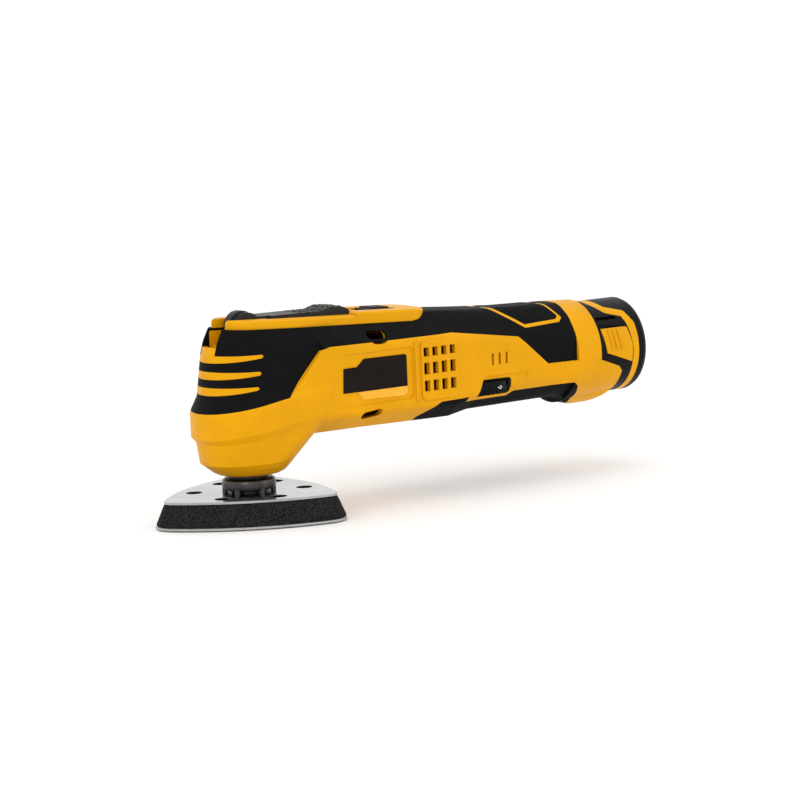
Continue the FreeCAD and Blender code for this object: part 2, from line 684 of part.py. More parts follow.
def sloped_box(length, half, low, high, x):
    """A box that lies along the falling top line, between two depths below it."""
    block = Part.makeBox(length, 2 * half, high - low, V(0, -half, low))
    block.rotate(V(), V(0, 1, 0), math.degrees(math.atan(dim("top_fall"))))
    block.translate(V(x, 0, top_line(x)))
    return block


def deck():
    """The black floor of the lever channel and of the slider's bay."""
    depth, gap = dim("cover_depth"), 0.15
    low, high, front = 0.04 - depth, 1.5 - depth, 12.6
    lever_floor = sloped_box(dim("channel_end") - gap - front, dim("channel_half") - gap, low, high, front)
    start = dim("channel_end") - 1.0
    bay_floor = sloped_box(dim("bay_end") - gap - start, dim("bay_half") - gap, low, high, start)
    feature("lever_deck", lever_floor.fuse(bay_floor).cut(stem_slot()))


def name_plates():
    """Blank plates in the side panels."""
    face = dim("body_half") - dim("label_depth")
    feature("name_plate_left", side_prism(LABEL_PLATE, -face - 0.4, -face))
    feature("name_plate_right", side_prism(LABEL_PLATE, face, face + 0.4))


def dial_bezel():
    """The black frame in the dial's window."""
    frame = side_prism(grown(DIAL_WINDOW, -0.15), -27.0, -22.6).common(handle_solid(0.2))
    window = side_prism([(128.6, 49.9), (130.6, 56.4), (145.4, 56.2), (145.4, 49.9)])
    shell = [item for item in PARTS if item.Label == "housing_left"][0].Shape
    feature("dial_bezel", largest(frame.cut(dial_room(0.3)).cut(window).cut(shell)))


# ---------------------------------------------------------------- release lever and switch

def lever_shape():
    """The release lever with its offset cam at the front."""
    x, z, radius = dim("lever_axis_x"), dim("lever_axis"), dim("cam_radius")
    half, tail = dim("lever_half"), dim("lever_tail")
    disc = Part.makeCylinder(radius, 11.2, V(x, -5.6, z), V(0, 1, 0))
    offset = V(1.8 * math.cos(math.radians(150)), 0, 1.8 * math.sin(math.radians(150)))
    lobe = Part.makeCylinder(radius, 5.0, V(x, -2.5, z) + offset, V(0, 1, 0))
    arm = [(x, z + 1.2), (tail - 2, 94.9), (tail, 96.4), (tail, 99.7), (tail - 1.2, 100.7), (55.0, 102.1),
           (48.4, 102.5), (42.6, 100.9), (7, 101.4), (x, 103.4)]
    narrow = side_prism(arm, -5.6, 5.6)
    wide = side_prism([(12.4, 90), (tail + 5, 90), (tail + 5, 110), (14.0, 110)], -half, half).common(
        side_prism(arm, -half, half))
    return disc.fuse([lobe, narrow, wide]).cut(
        Part.makeCylinder(1.5 + dim("shaft_gap"), 40, V(x, -20, z), V(0, 1, 0)))


def lever_parts():
    feature("release_lever", largest(lever_shape()))
    keep(cylinder("1.5", "24.0", ("lever_axis_x", "-12.0", "lever_axis"), "y"), "lever_pin")


def switch_parts():
    """Slider, link and the electrical switch it works."""
    front, length = dim("switch_front"), dim("switch_length")
    depth = dim("cover_depth")
    top = dim("hump_rise") + 0.2
    pad = sloped_box(length, 6.2, 1.8 - depth, top, front)
    ridges = [sloped_box(1.1, 5.4, top - 0.1, top + 0.8, front + 2.2 + 2.4 * k) for k in range(5)]
    stem = Part.makeBox(STEM_SIDE, STEM_SIDE, 8.0, V(front + STEM_INSET, -STEM_SIDE / 2, 87.4))
    feature("switch_slider", pad.fuse(ridges + [stem]))
    bar = box(("30.0", "5.0", "1.2"), ("switch_front + 5.0", "-2.5", "86.2"))
    finger = box(("2.0", "5.0", "4.0"), ("switch_front + 33.0", "-2.5", "83.0"))
    keep(fuse(bar, finger), "switch_link")
    keep(box(("19.0", "14.0", "13.4"), ("100.5", "-7.0", "69.0")), "switch_body")


# ---------------------------------------------------------------- spindle, clamp and pad

def spindle_parts():
    keep(turned("spindle", [
        ("spindle_bore", "flange_high"), ("neck_radius", "flange_high"), ("neck_radius", "26.8"),
        ("spindle_radius", "26.8"), ("spindle_radius", "71.0"), ("7.5", "71.0"), ("7.5", "spindle_top"),
        ("5.3", "spindle_top"), ("5.3", "66.0"), ("spindle_bore", "66.0")]), "spindle")
    flange = turned("flange", [
        ("spindle_bore", "plate_top"), ("9.0", "plate_top"), ("9.0", "flange_low"),
        ("flange_radius - 1.8", "flange_low"),
        ("flange_radius - 0.5", "flange_low + 0.8"), ("flange_radius", "flange_low + 2.0"),
        ("flange_radius", "flange_high - 2.0"), ("flange_radius - 0.5", "flange_high - 0.8"),
        ("flange_radius - 1.8", "flange_high"), ("spindle_bore", "flange_high")])
    pins = []
    for k in range(6):
        angle = math.radians(60 * k + 30)
        pins.append(cylinder("pin_radius", "4.2", ("pin_circle * %.6f" % math.cos(angle),
                                                   "pin_circle * %.6f" % math.sin(angle), "12.0")))
    keep(fuse(flange, *pins), "tool_flange")
    hub = ring("12.6", "spindle_radius", "11.0", ("0", "0", "60.0"))
    arms = [box(("23.5", "2.4", "8.0"), ("3.0", y, "drive_axis - 4.0"))
            for y in ("fork_gap", "-fork_gap - 2.4")]
    bore = cylinder("spindle_radius", "11.0", ("0", "0", "60.0"))
    keep(cut(fuse(hub, *arms), bore), "drive_fork")


def bearing(label, outer, inner, width, at, axis="z"):
    """A sealed ball bearing as one plain ring."""
    keep(ring(outer, inner, width, at, axis), label)


def bearings():
    bearing("spindle_bearing_lower", "14.95", "spindle_radius + shaft_gap", "7.0", ("0", "0", "27.0"))
    bearing("spindle_bearing_upper", "13.95", "7.5 + shaft_gap", "7.0", ("0", "0", "73.0"))
    bearing("eccentric_bearing", "race_radius", "eccentric_radius", "race_width",
            ("race_front", "0", "drive_axis + throw"), "x")


def gear_case():
    """The aluminium casting that holds the spindle's bearings and carries the motor."""
    barrel = turned("case", [
        ("10.7", "case_floor"), ("case_radius", "case_floor"), ("case_radius", "case_top"), ("8.8", "case_top"),
        ("8.8", "80.0"), ("13.95", "80.0"), ("13.95", "73.0"), ("14.6", "73.0"), ("14.6", "34.0"),
        ("14.95", "34.0"), ("14.95", "27.0"), ("10.7", "27.0")])
    nose = cylinder("16.0", "motor_front - 12.0", ("12.0", "0", "drive_axis"), "x")
    room = cylinder("13.8", "40.0", ("14.4", "0", "drive_axis"), "x")
    window = box(("14.0", "27.2", "14.0"), ("6.0", "-13.6", "58.6"))
    core = cylinder("13.95", "7.0", ("0", "0", "73.0"))
    void = cylinder("14.6", "39.0", ("0", "0", "34.0"))
    keep(cut(fuse(barrel, nose), room, window, core, void), "gear_case")


def clamp_parts():
    keep(turned("clamp_bolt", [
        ("0", "9.9"), ("foot_radius - 1.2", "9.9"), ("foot_radius", "11.1"), ("foot_radius", "12.3"),
        ("bolt_radius", "12.3"), ("bolt_radius", "80.0"), ("4.9", "80.0"), ("4.9", "82.4"),
        ("bolt_radius", "82.4"),
        ("bolt_radius", "bolt_top - 0.6"), ("bolt_radius - 0.6", "bolt_top"), ("0", "bolt_top")]), "clamp_bolt")
    low, high, coils, coil_radius, wire_radius = 66.6, 79.4, 5.5, 4.1, 0.5
    helix = Part.makeHelix((high - low) / coils, high - low, coil_radius)
    profile = Part.Wire(Part.Circle(V(coil_radius, 0, 0), V(0, 1, 0), wire_radius).toShape())
    coil = Part.Wire(helix).makePipeShell([profile], True, True)
    lift = FreeCAD.Matrix()
    lift.move(V(0, 0, low))
    feature("clamp_spring", coil.transformGeometry(lift))


def delta_wire(side, corner, bend, z):
    """Three bulging sides of radius bend joined by round corners, one corner pointing forward."""
    away = bend - side
    tip = (corner ** 2 + away ** 2 + corner * away - bend ** 2) / (2 * corner + away - 2 * bend)
    edges = []
    joints = []
    for k in range(3):
        angle = math.radians(180 + 120 * k)
        along = V(math.cos(angle), math.sin(angle), 0)
        centre = along * (corner - tip)
        touches = []
        for turn in (-60, 60):
            opposite = math.radians(180 + 120 * k + turn + 180)
            far = V(math.cos(opposite), math.sin(opposite), 0) * away
            touches.append(centre + (centre - far).normalize() * tip)
        middle = math.radians(180 + 120 * k + 60)
        joints.append((touches[0], along * corner, touches[1], V(math.cos(middle), math.sin(middle), 0) * side))
    for k, (start, apex, end, bulge) in enumerate(joints):
        edges.append(Part.Arc(start, apex, end).toShape())
        edges.append(Part.Arc(end, bulge, joints[(k + 1) % 3][0]).toShape())
    wire = Part.Wire(edges)
    wire.translate(V(0, 0, z))
    return wire


SIDE_BEND = 109.0


def pad_parts():
    top, plate, hook = dim("plate_top"), dim("plate_thick"), dim("hook_thick")
    dust = []
    for k in range(6):
        angle = math.radians(60 * k + 30)
        place_at = V(dim("dust_circle") * math.cos(angle), dim("dust_circle") * math.sin(angle), -1)
        dust.append(Part.makeCylinder(dim("dust_radius"), 20, place_at))
    holes = dust[0].fuse(dust[1:])
    pins = []
    for k in range(6):
        angle = math.radians(60 * k + 30)
        centre = V(dim("pin_circle") * math.cos(angle), dim("pin_circle") * math.sin(angle), 11)
        pins.append(Part.makeCylinder(dim("pin_radius") + 0.05, 4, centre))
    rim = delta_wire(dim("plate_side"), dim("plate_corner"), SIDE_BEND, top - plate)
    face = delta_wire(dim("face_side"), dim("face_corner"), SIDE_BEND, hook)
    sheet_steel = Part.Face(rim).extrude(V(0, 0, plate))
    centre_hole = Part.makeCylinder(4.4, 20, V(0, 0, 5))
    feature("pad_plate", sheet_steel.cut(holes).cut(centre_hole).cut(pins[0].fuse(pins[1:])))
    block = Part.makeLoft([face, rim], True, True)
    well = Part.makeCylinder(14.2, 20, V(0, 0, 6.0))
    feature("pad_foam", block.cut(holes).cut(well))
    floor = Part.Face(delta_wire(dim("face_side"), dim("face_corner"), SIDE_BEND, 0)).extrude(V(0, 0, hook))
    feature("pad_hook_face", floor.cut(holes))


# ---------------------------------------------------------------- motor

def motor_parts():
    front = "motor_front"
    tube = ring("motor_radius", "motor_radius - can_wall", "motor_length", (front, "0", "drive_axis"), "x")
    face = ring("motor_radius - can_wall", "5.2", "1.5", (front, "0", "drive_axis"), "x")
    keep(fuse(tube, face), "motor_can")
    keep(ring("5.2", "shaft_radius + shaft_gap", "4.0", (front, "0", "drive_axis"), "x"), "motor_front_bush")
    halves = ring("motor_radius - can_wall", "magnet_inner", "40.0",
                  ("motor_front + 5.0", "0", "drive_axis"), "x")
    gap = box(("50.0", "10.0", "60.0"), (front, "-5.0", "drive_axis - 30.0"))
    keep(cut(halves, gap), "motor_magnets")
    keep(cylinder("shaft_radius", "79.5", ("19.5", "0", "drive_axis"), "x"), "motor_shaft")
    stack = ring("armature_radius", "shaft_radius", "armature_length",
                 ("motor_front + 9.0", "0", "drive_axis"), "x")
    slots = []
    for k in range(5):
        angle = math.radians(72 * k)
        slot = box(("armature_length", "3.4", "7.0"), ("motor_front + 9.0", "0", "0"))
        slot.Placement = FreeCAD.Placement(V(0, 0, 0), FreeCAD.Rotation(V(1, 0, 0), 72 * k))
        place(slot, ("motor_front + 9.0", "%.6f - %.6f" % (-7.6 * math.sin(angle), 1.7 * math.cos(angle)),
                     "drive_axis + %.6f - %.6f" % (7.6 * math.cos(angle), 1.7 * math.sin(angle))))
        slots.append(slot)
    keep(cut(stack, *slots), "armature")
    ends = [ring("11.4", "shaft_radius", "3.4", (x, "0", "drive_axis"), "x")
            for x in ("motor_front + 5.6", "motor_front + 9.0 + armature_length")]
    keep(fuse(*ends), "armature_windings")
    keep(ring("5.0", "shaft_radius", "6.0", ("motor_front + 45.0", "0", "drive_axis"), "x"), "commutator")
    brushes = [box(("4.4", "5.0", "4.0"), ("motor_front + 45.8", y, "drive_axis - 2.0"))
               for y in ("5.1", "-10.1")]
    keep(fuse(*brushes), "carbon_brushes")
    cap_at = ("motor_front + 51.5", "0", "drive_axis")
    keep(ring("motor_radius - can_wall", "3.4", "4.5", cap_at, "x"), "motor_end_cap")
    keep(ring("3.4", "shaft_radius + shaft_gap", "4.5", cap_at, "x"), "motor_rear_bush")


def fan_parts():
    disc = ring("fan_radius", "shaft_radius", "1.0", ("fan_front", "0", "drive_axis"), "x")
    hub = ring("5.0", "shaft_radius", "fan_width", ("fan_front", "0", "drive_axis"), "x")
    blades = []
    for k in range(9):
        angle = math.radians(40 * k)
        blade = box(("fan_width", "0.9", "fan_radius - 4.6"), ("0", "0", "0"))
        blade.Placement = FreeCAD.Placement(V(), FreeCAD.Rotation(V(1, 0, 0), 40 * k))
        place(blade, ("fan_front", "%.6f" % (-4.4 * math.sin(angle)),
                      "drive_axis + %.6f" % (4.4 * math.cos(angle))))
        blades.append(blade)
    keep(fuse(disc, hub, *blades), "cooling_fan")


def eccentric():
    """The offset pin and its hub on the motor's front shaft."""
    pin = cylinder("eccentric_radius", "6.2", ("race_front - 0.4", "0", "drive_axis + throw"), "x")
    hub = cylinder("5.6", "4.0", ("race_front + race_width + 0.3", "0", "drive_axis"), "x")
    bore = cylinder("shaft_radius", "20.0", ("15.0", "0", "drive_axis"), "x")
    keep(cut(fuse(pin, hub), bore), "eccentric")


# ---------------------------------------------------------------- electronics

def electronics():
    keep(box(("43.0", "36.0", "1.6"), ("106.0", "-18.0", "60.0")), "control_board")
    body = cylinder("6.0", "2.8", ("dial_x", "-dial_y", "57.2"))
    shaft = cylinder("1.5", "7.4", ("dial_x", "-dial_y", "50.0"))
    keep(fuse(body, shaft), "speed_potentiometer")
    capacitor = cylinder("4.0", "6.8", ("114.0", "9.0", "61.6"))
    sink = box(("9.0", "10.0", "6.0"), ("126.0", "4.0", "61.6"))
    chip = box(("8.0", "8.0", "2.0"), ("138.0", "3.0", "61.6"))
    keep(fuse(capacitor, sink, chip), "board_components")
    keep(box(("3.4", "22.0", "15.0"), ("149.2", "-11.0", "62.4")), "terminal_block")
    blades = [box(("6.6", "0.8", "9.0"), ("152.6", y, "65.4")) for y in ("-7.4", "-0.4", "6.6")]
    keep(fuse(*blades), "terminal_blades")


def dial():
    """The ridged thumbwheel of the speed control."""
    wheel = cylinder("dial_radius", "dial_width", ("dial_x", "-dial_y", "dial_low"))
    bore = cylinder("1.5 + shaft_gap", "dial_width", ("dial_x", "-dial_y", "dial_low"))
    grooves = []
    for k in range(36):
        angle = math.radians(10 * k + 5)
        grooves.append(cylinder("0.5", "2.2", ("dial_x + dial_radius * %.6f" % math.cos(angle),
                                               "dial_radius * %.6f - dial_y" % math.sin(angle), "dial_low")))
    keep(cut(wheel, bore, *grooves), "speed_dial")


# ---------------------------------------------------------------- battery

LATCH = [(208.8, 77.2), (226.4, 75.4), (228.3, 66.0), (228.3, 56.6), (211.4, 62.7)]
BAND = [(229.0, 20), (229.0, 64.0), (227.4, 77.0), (226.0, 80.6), (217.0, 83.0), (211.6, 88.0), (211.6, 100),
        (215.0, 100), (215.0, 90.2), (219.4, 85.8), (229.4, 83.2), (232.6, 77.0), (232.8, 62.0), (232.8, 20)]


def grown(points, gap):
    """An outline moved outwards about its middle by roughly gap, or inwards if gap is negative."""
    cx = sum(x for x, _ in points) / len(points)
    cz = sum(z for _, z in points) / len(points)
    return [(x + gap * math.copysign(1, x - cx), z + gap * math.copysign(1, z - cz)) for x, z in points]


def battery_parts():
    axis, cells, radius = dim("pack_axis"), dim("cell_axis"), dim("pack_radius")
    front, back, ring_front, stem = dim("stem_front"), dim("collar_back"), dim("ring_front"), dim("stem_radius")
    body_start = back - 2.6
    tube = Part.makeCylinder(stem, body_start - front + 4, V(front, 0, cells), V(1, 0, 0))
    body = Part.makeCylinder(radius, ring_front - body_start, V(body_start, 0, axis), V(1, 0, 0))
    hollow = Part.makeCylinder(19.95, 228.4 - 162.6, V(162.6, 0, cells), V(1, 0, 0))
    socket = Part.makeBox(7.6, 18.4, 11.4, V(front - 1, -9.2, 64.2))
    skin = body.cut(Part.makeCylinder(radius - 1.5, 60, V(body_start - 5, 0, axis), V(1, 0, 0)))
    band = skin.common(side_prism(BAND))
    pockets = [side_prism(grown(LATCH, 0.3), -40, -20.7), side_prism(grown(LATCH, 0.3), 20.7, 40)]
    inside = Part.makeCylinder(radius - 1.4, 60, V(190, 0, axis), V(1, 0, 0))
    grooves = [Part.makeBox(13.5, 30, 1.6, V(208.6, y, 79.6)).cut(inside) for y in (-30, 0)]
    shell = tube.fuse(body).cut(hollow).cut(socket).cut(band)
    for tool in pockets + grooves:
        shell = shell.cut(tool)
    feature("battery_shell", largest(shell))
    feature("battery_band", band)
    for label, side in (("latch_button_left", -1), ("latch_button_right", 1)):
        limit = Part.makeCylinder(radius + 0.35, 60, V(190, 0, axis), V(1, 0, 0))
        low, high = (-40, -22.4) if side < 0 else (22.4, 40)
        button = side_prism(LATCH, low, high).common(limit)
        for k in range(3):
            x = 213.0 + 3.0 * k
            rib = side_prism([(x, 75.0), (x + 1.2, 75.0), (x + 2.6, 64.0), (x + 1.4, 64.0)], low, high)
            button = button.fuse(rib.common(Part.makeCylinder(radius + 0.95, 60, V(190, 0, axis), V(1, 0, 0))))
        feature(label, button)
    profile = [("0", "0"), ("pack_radius", "0"), ("pack_radius", "3.4"), ("pack_radius - 0.8", "5.2"),
               ("pack_radius - 2.2", "6.2"), ("pack_radius - 4.0", "6.2"), ("pack_radius - 4.4", "5.6"),
               ("0", "5.6")]
    keep(turned("end_cap", profile, ("ring_front", "0", "pack_axis"), "x"), "battery_end_cap")
    circle = "cell_radius * %.6f" % (2 / math.sqrt(3) + 0.004)
    rods = []
    for k in range(3):
        angle = math.radians(120 * k + 90)
        at = ("163.0", "%s * %.6f" % (circle, math.cos(angle)),
              "cell_axis + %s * %.6f" % (circle, math.sin(angle)))
        rods.append(cylinder("cell_radius - 0.05", "cell_length", at, "x"))
    keep(fuse(*rods), "battery_cells")


def housing_screws():
    """Five pan-head screws, put in from the right."""
    screws = []
    for x, z in SCREWS:
        screws.append(cylinder("2.8", "2.0", (str(x), str(SCREW_SEAT), str(z)), "y"))
        screws.append(cylinder("screw_radius", str(SCREW_SEAT + SCREW_TIP),
                               (str(x), str(-SCREW_TIP), str(z)), "y"))
    keep(fuse(*screws), "housing_screws")


# ---------------------------------------------------------------- build, check and write

def check_objects():
    """Stop if anything in the document failed, or if a sub-part is not a valid shape."""
    broken = [o.Label for o in doc.Objects if {"Invalid", "Error"} & set(o.State)]
    broken += [o.Label for o in PARTS if o.Shape.isNull() or not o.Shape.isValid() or not o.Shape.Solids]
    if broken:
        raise RuntimeError("failed: " + ", ".join(broken))


housing_parts()
top_rail()
deck()
name_plates()
dial_bezel()
lever_parts()
switch_parts()
spindle_parts()
bearings()
gear_case()
clamp_parts()
pad_parts()
motor_parts()
fan_parts()
eccentric()
electronics()
dial()
battery_parts()
housing_screws()
doc.recompute()
check_objects()
os.makedirs("parts", exist_ok=True)
for item in PARTS:
    item.Shape.exportStep("parts/%s.step" % item.Label)
    print("%-24s %2d solids %9.1f mm3" % (item.Label, len(item.Shape.Solids), item.Shape.Volume))
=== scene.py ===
import math
import random

import bmesh
import bpy
from mathutils import Matrix, Vector


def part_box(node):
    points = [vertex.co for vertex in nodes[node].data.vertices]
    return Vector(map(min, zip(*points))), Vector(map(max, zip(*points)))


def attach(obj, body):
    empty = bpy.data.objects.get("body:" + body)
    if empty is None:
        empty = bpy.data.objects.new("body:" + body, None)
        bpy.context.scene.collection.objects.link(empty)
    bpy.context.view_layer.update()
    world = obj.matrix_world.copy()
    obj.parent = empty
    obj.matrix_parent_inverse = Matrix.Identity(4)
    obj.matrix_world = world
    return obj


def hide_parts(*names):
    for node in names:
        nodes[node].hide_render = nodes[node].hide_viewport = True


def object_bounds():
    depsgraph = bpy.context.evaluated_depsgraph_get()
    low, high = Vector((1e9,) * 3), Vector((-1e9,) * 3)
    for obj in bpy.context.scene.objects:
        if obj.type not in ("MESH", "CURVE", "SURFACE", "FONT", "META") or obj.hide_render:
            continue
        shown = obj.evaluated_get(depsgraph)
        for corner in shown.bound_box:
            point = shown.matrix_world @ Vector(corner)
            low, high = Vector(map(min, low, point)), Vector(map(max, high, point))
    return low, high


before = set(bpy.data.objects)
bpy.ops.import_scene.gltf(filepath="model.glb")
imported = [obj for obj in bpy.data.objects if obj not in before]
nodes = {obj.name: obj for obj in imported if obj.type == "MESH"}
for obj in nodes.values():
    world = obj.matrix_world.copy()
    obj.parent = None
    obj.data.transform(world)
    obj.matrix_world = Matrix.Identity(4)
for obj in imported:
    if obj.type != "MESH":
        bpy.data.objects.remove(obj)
cad_low, cad_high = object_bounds()
MM = 0.001


# ---------------------------------------------------------------- camera, floor and light

VIEW_AZIMUTH = math.radians(-34.0)
VIEW_ELEVATION = math.radians(7.92)
VIEW_ROLL = math.radians(-2.48)
VIEW_DISTANCE = 1.72
VIEW_TARGET = Vector((0.0699, -0.0358, 0.0547))
SENSOR = 36.0
LENS = 153.0


def make_camera():
    """A long lens from the front left, a little above the tool."""
    back = Vector((math.sin(VIEW_AZIMUTH) * math.cos(VIEW_ELEVATION),
                   -math.cos(VIEW_AZIMUTH) * math.cos(VIEW_ELEVATION), math.sin(VIEW_ELEVATION)))
    level = Vector((math.cos(VIEW_AZIMUTH), math.sin(VIEW_AZIMUTH), 0.0))
    upward = back.cross(level)
    right = math.cos(VIEW_ROLL) * level + math.sin(VIEW_ROLL) * upward
    up = back.cross(right)
    data = bpy.data.cameras.new("camera")
    data.sensor_width = SENSOR
    data.lens = LENS
    data.clip_start = 0.01
    camera = bpy.data.objects.new("camera", data)
    camera.matrix_world = Matrix.Translation(VIEW_TARGET + back * VIEW_DISTANCE) @ Matrix(
        (right, up, back)).transposed().to_4x4()
    bpy.context.collection.objects.link(camera)
    bpy.context.scene.camera = camera
    bpy.context.scene.view_settings.view_transform = "Standard"


FLOOR_SIZE = 12.0
FLOOR_DROP = 0.6 * MM       # how far the floor lies below the pad, so that the two never touch
FLOOR_WHITE = 0.93
SURROUNDINGS = 1.08         # brightness of the white surroundings

# name, place in metres, side of the square in metres, power in watts
LAMPS = [
    ("key_light", (-0.75, -0.7, 0.8), 0.45, 1.5),
    ("top_light", (0.2, 0.05, 1.1), 0.5, 1.2),
    ("side_light", (0.9, -0.9, 0.5), 0.3, 0.5),
]


def area_light(name, place, target, size, power):
    """A square lamp that faces its target."""
    data = bpy.data.lights.new(name, "AREA")
    data.energy = power
    data.size = size
    lamp = bpy.data.objects.new(name, data)
    lamp.location = place
    lamp.rotation_euler = (Vector(target) - Vector(place)).to_track_quat("-Z", "Y").to_euler()
    bpy.context.collection.objects.link(lamp)


def make_studio():
    """White floor, white surroundings and three large soft lights."""
    world = bpy.data.worlds.new("studio")
    world.use_nodes = True
    background = world.node_tree.nodes["Background"]
    background.inputs["Color"].default_value = (1.0, 1.0, 1.0, 1.0)
    background.inputs["Strength"].default_value = SURROUNDINGS
    bpy.context.scene.world = world
    bpy.ops.mesh.primitive_plane_add(size=FLOOR_SIZE, location=(0, 0, -FLOOR_DROP))
    floor = bpy.context.object
    floor.name = "floor"
    white = NodeMaterial("floor_white")
    white.constant("Base Color", (FLOOR_WHITE, FLOOR_WHITE, FLOOR_WHITE, 1.0))
    white.constant("Roughness", 0.9)
    floor.data.materials.append(white.material)
    middle = (cad_low + cad_high) / 2
    for name, place, size, power in LAMPS:
        area_light(name, place, middle, size, power)


# ---------------------------------------------------------------- material helpers

class NodeMaterial:
    """A node material with a few shorthands for wiring it."""

    def __init__(self, name):
        self.material = bpy.data.materials.new(name)
        self.material.use_nodes = True
        self.tree = self.material.node_tree
        self.shader = self.tree.nodes["Principled BSDF"]
        self.coordinates = self.tree.nodes.new("ShaderNodeTexCoord").outputs["Object"]

    def node(self, kind, **settings):
        made = self.tree.nodes.new("ShaderNode" + kind)
        for key, value in settings.items():
            if key in made.inputs:
                made.inputs[key].default_value = value
            else:
                setattr(made, key, value)
        return made

    def link(self, source, target):
        self.tree.links.new(source, target)

    def stretched(self, x, y, z):
        mapping = self.node("Mapping")
        mapping.inputs["Scale"].default_value = (x, y, z)
        self.link(self.coordinates, mapping.inputs["Vector"])
        return mapping.outputs["Vector"]

    def noise(self, scale, detail=3.0, roughness=0.6, vector=None):
        made = self.node("TexNoise", Scale=scale, Detail=detail, Roughness=roughness)
        self.link(vector or self.coordinates, made.inputs["Vector"])
        return made.outputs["Fac"]

    def cells(self, scale):
        made = self.node("TexVoronoi", Scale=scale)
        self.link(self.coordinates, made.inputs["Vector"])
        return made.outputs["Distance"]

    def ramp(self, source, low, high, start=0.0, end=1.0):
        """Maps a range of a source onto two numbers."""
        made = self.node("MapRange")
        made.inputs["From Min"].default_value = start
        made.inputs["From Max"].default_value = end
        made.inputs["To Min"].default_value = low
        made.inputs["To Max"].default_value = high
        self.link(source, made.inputs["Value"])
        return made.outputs["Result"]

    def math(self, operation, first, second):
        made = self.node("Math", operation=operation)
        for socket, value in zip(made.inputs, (first, second)):
            if isinstance(value, (int, float)):
                socket.default_value = value
            else:
                self.link(value, socket)
        return made.outputs["Value"]

    def mix(self, factor, first, second):
        made = self.node("Mix", data_type="RGBA")
        for socket, value in ((made.inputs[0], factor), (made.inputs[6], first), (made.inputs[7], second)):
            if isinstance(value, tuple):
                socket.default_value = value if len(value) == 4 else value + (1.0,)
            elif isinstance(value, (int, float)):
                socket.default_value = value
            else:
                self.link(value, socket)
        return made.outputs[2]

    def rounded(self, radius):
        """A normal that rounds the edges."""
        bevel = self.node("Bevel", samples=4)
        bevel.inputs["Radius"].default_value = radius
        return bevel.outputs["Normal"]

    def worn(self, rounded):
        """1 along the rounded edges and 0 on open faces."""
        geometry = self.node("NewGeometry")
        dot = self.node("VectorMath", operation="DOT_PRODUCT")
        self.link(rounded, dot.inputs[0])
        self.link(geometry.outputs["Normal"], dot.inputs[1])
        return self.ramp(dot.outputs["Value"], 1.0, 0.0, 0.80, 0.995)

    def bump(self, height, distance, strength, normal=None):
        made = self.node("Bump")
        made.inputs["Strength"].default_value = strength
        made.inputs["Distance"].default_value = distance
        self.link(height, made.inputs["Height"])
        if normal is not None:
            self.link(normal, made.inputs["Normal"])
        return made.outputs["Normal"]

    def constant(self, socket, value):
        self.shader.inputs[socket].default_value = value

    def base(self, source):
        self.link(source, self.shader.inputs["Base Color"])

    def rough(self, source):
        self.link(source, self.shader.inputs["Roughness"])

    def normal(self, source):
        self.link(source, self.shader.inputs["Normal"])


def moulded(name, colour, worn_colour, roughness, grain_depth=0.05, shine=0.10):
    """Injection-moulded plastic: spark-eroded grain, faint mottling and slightly polished edges."""
    m = NodeMaterial(name)
    rounded = m.rounded(0.4 * MM)
    worn = m.worn(rounded)
    mottle = m.noise(35.0, 4.0)
    deep = tuple(c * 0.93 for c in colour)
    light = tuple(min(1.0, c * 1.04) for c in colour)
    tone = m.mix(m.ramp(mottle, 0.0, 1.0, 0.35, 0.65), deep, light)
    m.base(m.mix(m.math("MULTIPLY", worn, 0.35), tone, worn_colour))
    smudge = m.ramp(m.noise(90.0, 5.0, 0.7), roughness - 0.05, roughness + 0.07, 0.3, 0.7)
    m.rough(m.math("SUBTRACT", smudge, m.math("MULTIPLY", worn, 0.08)))
    pits = m.cells(2600.0)
    m.normal(m.bump(pits, 0.06 * MM, grain_depth, m.bump(m.noise(420.0, 2.0), 0.1 * MM, 0.04, rounded)))
    m.constant("Specular IOR Level", shine)
    return m.material


RUBBER_ROUGHNESS = 0.62


def soft_rubber(name, colour):
    """Soft overmould: deep black, matte, with a fine stipple and dusty patches."""
    m = NodeMaterial(name)
    rounded = m.rounded(0.5 * MM)
    worn = m.worn(rounded)
    dust = m.ramp(m.noise(60.0, 6.0, 0.65), 0.0, 1.0, 0.45, 0.75)
    tone = m.mix(m.math("MULTIPLY", dust, 0.3), colour, tuple(c * 1.8 for c in colour))
    m.base(m.mix(m.math("MULTIPLY", worn, 0.3), tone, (0.02, 0.02, 0.02)))
    m.rough(m.ramp(m.noise(140.0, 4.0), RUBBER_ROUGHNESS - 0.05, RUBBER_ROUGHNESS + 0.08, 0.3, 0.7))
    m.normal(m.bump(m.cells(1900.0), 0.1 * MM, 0.12, rounded))
    m.constant("Specular IOR Level", 0.07)
    return m.material


TURNING_MARKS = 5200.0      # how close the rings of a lathe-turned surface lie


def turned_steel(name, colour, roughness):
    """Lathe-turned steel: fine rings, a little oil film and rounded edges."""
    m = NodeMaterial(name)
    rounded = m.rounded(0.35 * MM)
    rings = m.noise(1.0, 3.0, 0.7, m.stretched(80.0, 80.0, TURNING_MARKS))
    stain = m.noise(220.0, 5.0)
    m.base(m.mix(m.ramp(stain, 0.0, 0.6, 0.4, 0.7), colour, tuple(c * 0.55 for c in colour)))
    m.rough(m.ramp(rings, roughness - 0.08, roughness + 0.12, 0.3, 0.7))
    m.normal(m.bump(rings, 0.03 * MM, 0.25, rounded))
    m.constant("Metallic", 1.0)
    return m.material


